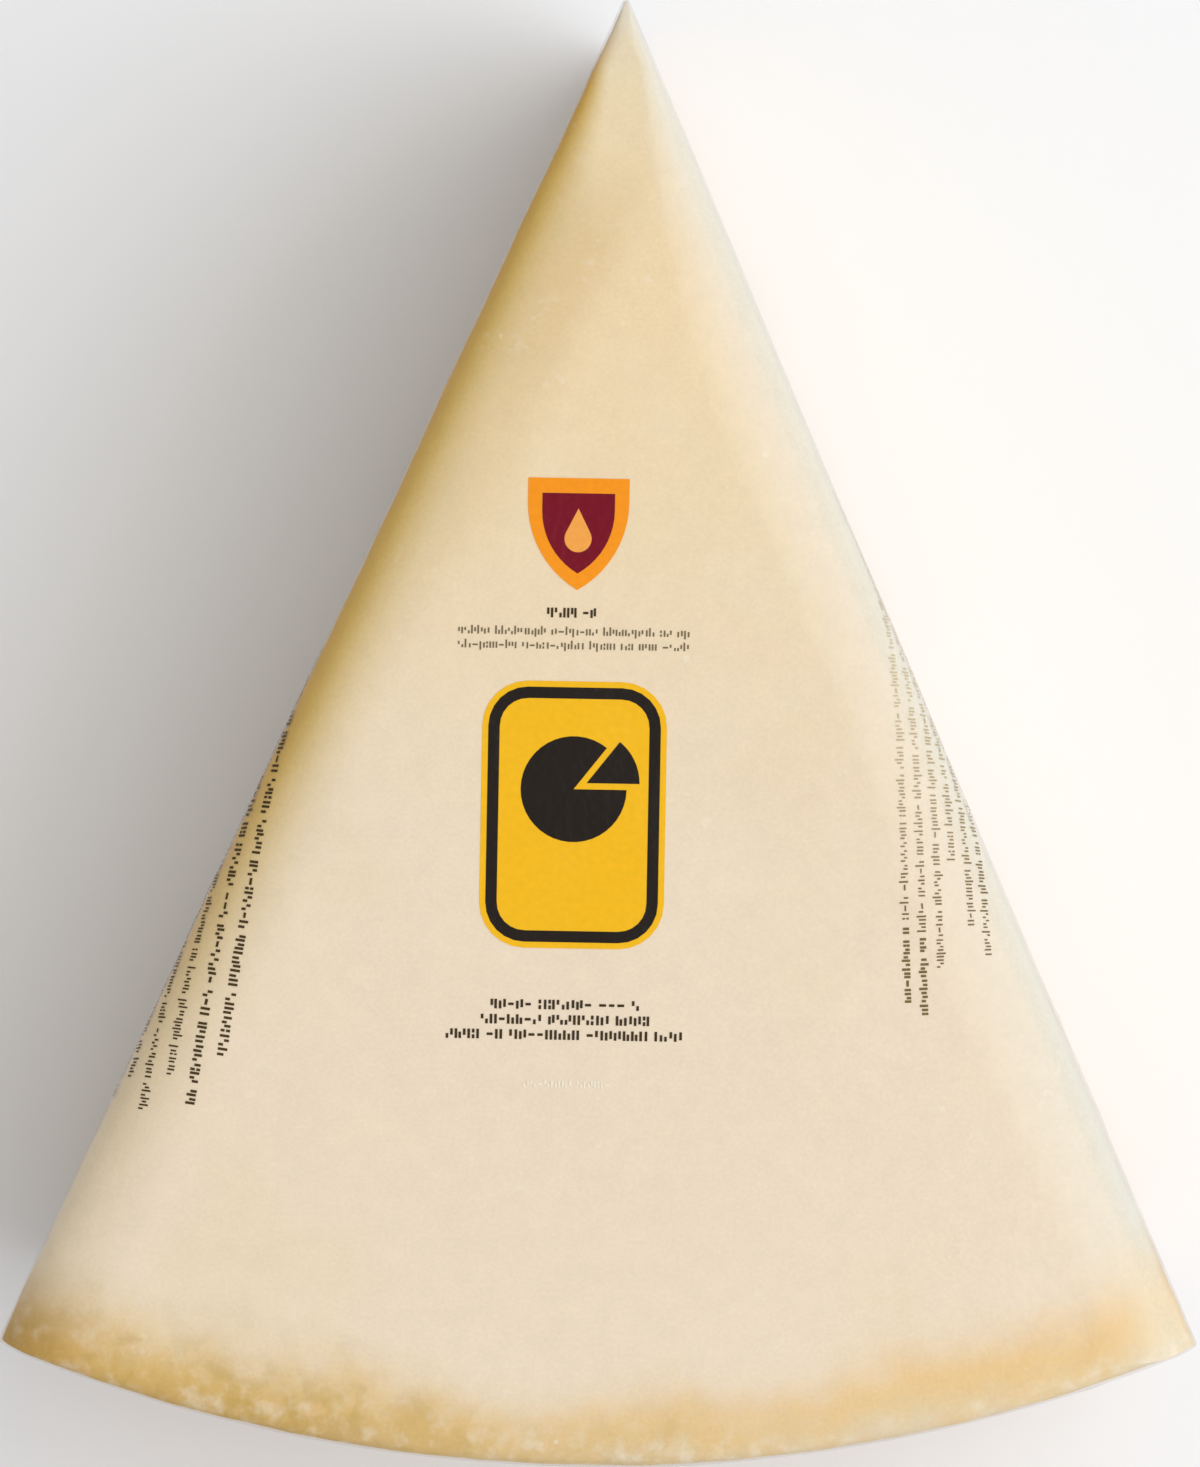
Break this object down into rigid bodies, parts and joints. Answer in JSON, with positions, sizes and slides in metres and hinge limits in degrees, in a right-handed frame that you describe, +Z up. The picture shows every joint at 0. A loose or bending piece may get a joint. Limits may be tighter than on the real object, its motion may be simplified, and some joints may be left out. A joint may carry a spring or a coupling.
{
  "type": "vacuum-packed hard cheese wedge",
  "caption": "Wedge of hard grana-style cheese cut from half a wheel, rind on its curved side and foot, sealed tight in clear vacuum film, lying with its smooth middle cut up.",
  "frame": {"origin": "middle of the outer box, on the flat rind face that the wedge stands on", "axes": "+Z up through the middle cut that looks up, +Y along the line that halves the wedge, towards its thin tip, so the curved rind side faces -Y, and +X to the right seen from above with the tip away"},
  "size_m": [0.159, 0.1942, 0.1],
  "materials": {
    "cheese": "satin",
    "film": "satin",
    "print": "satin"
  },
  "bodies": {
    "root": {"cheese_wedge": "cheese"}
  },
  "joints": []
}
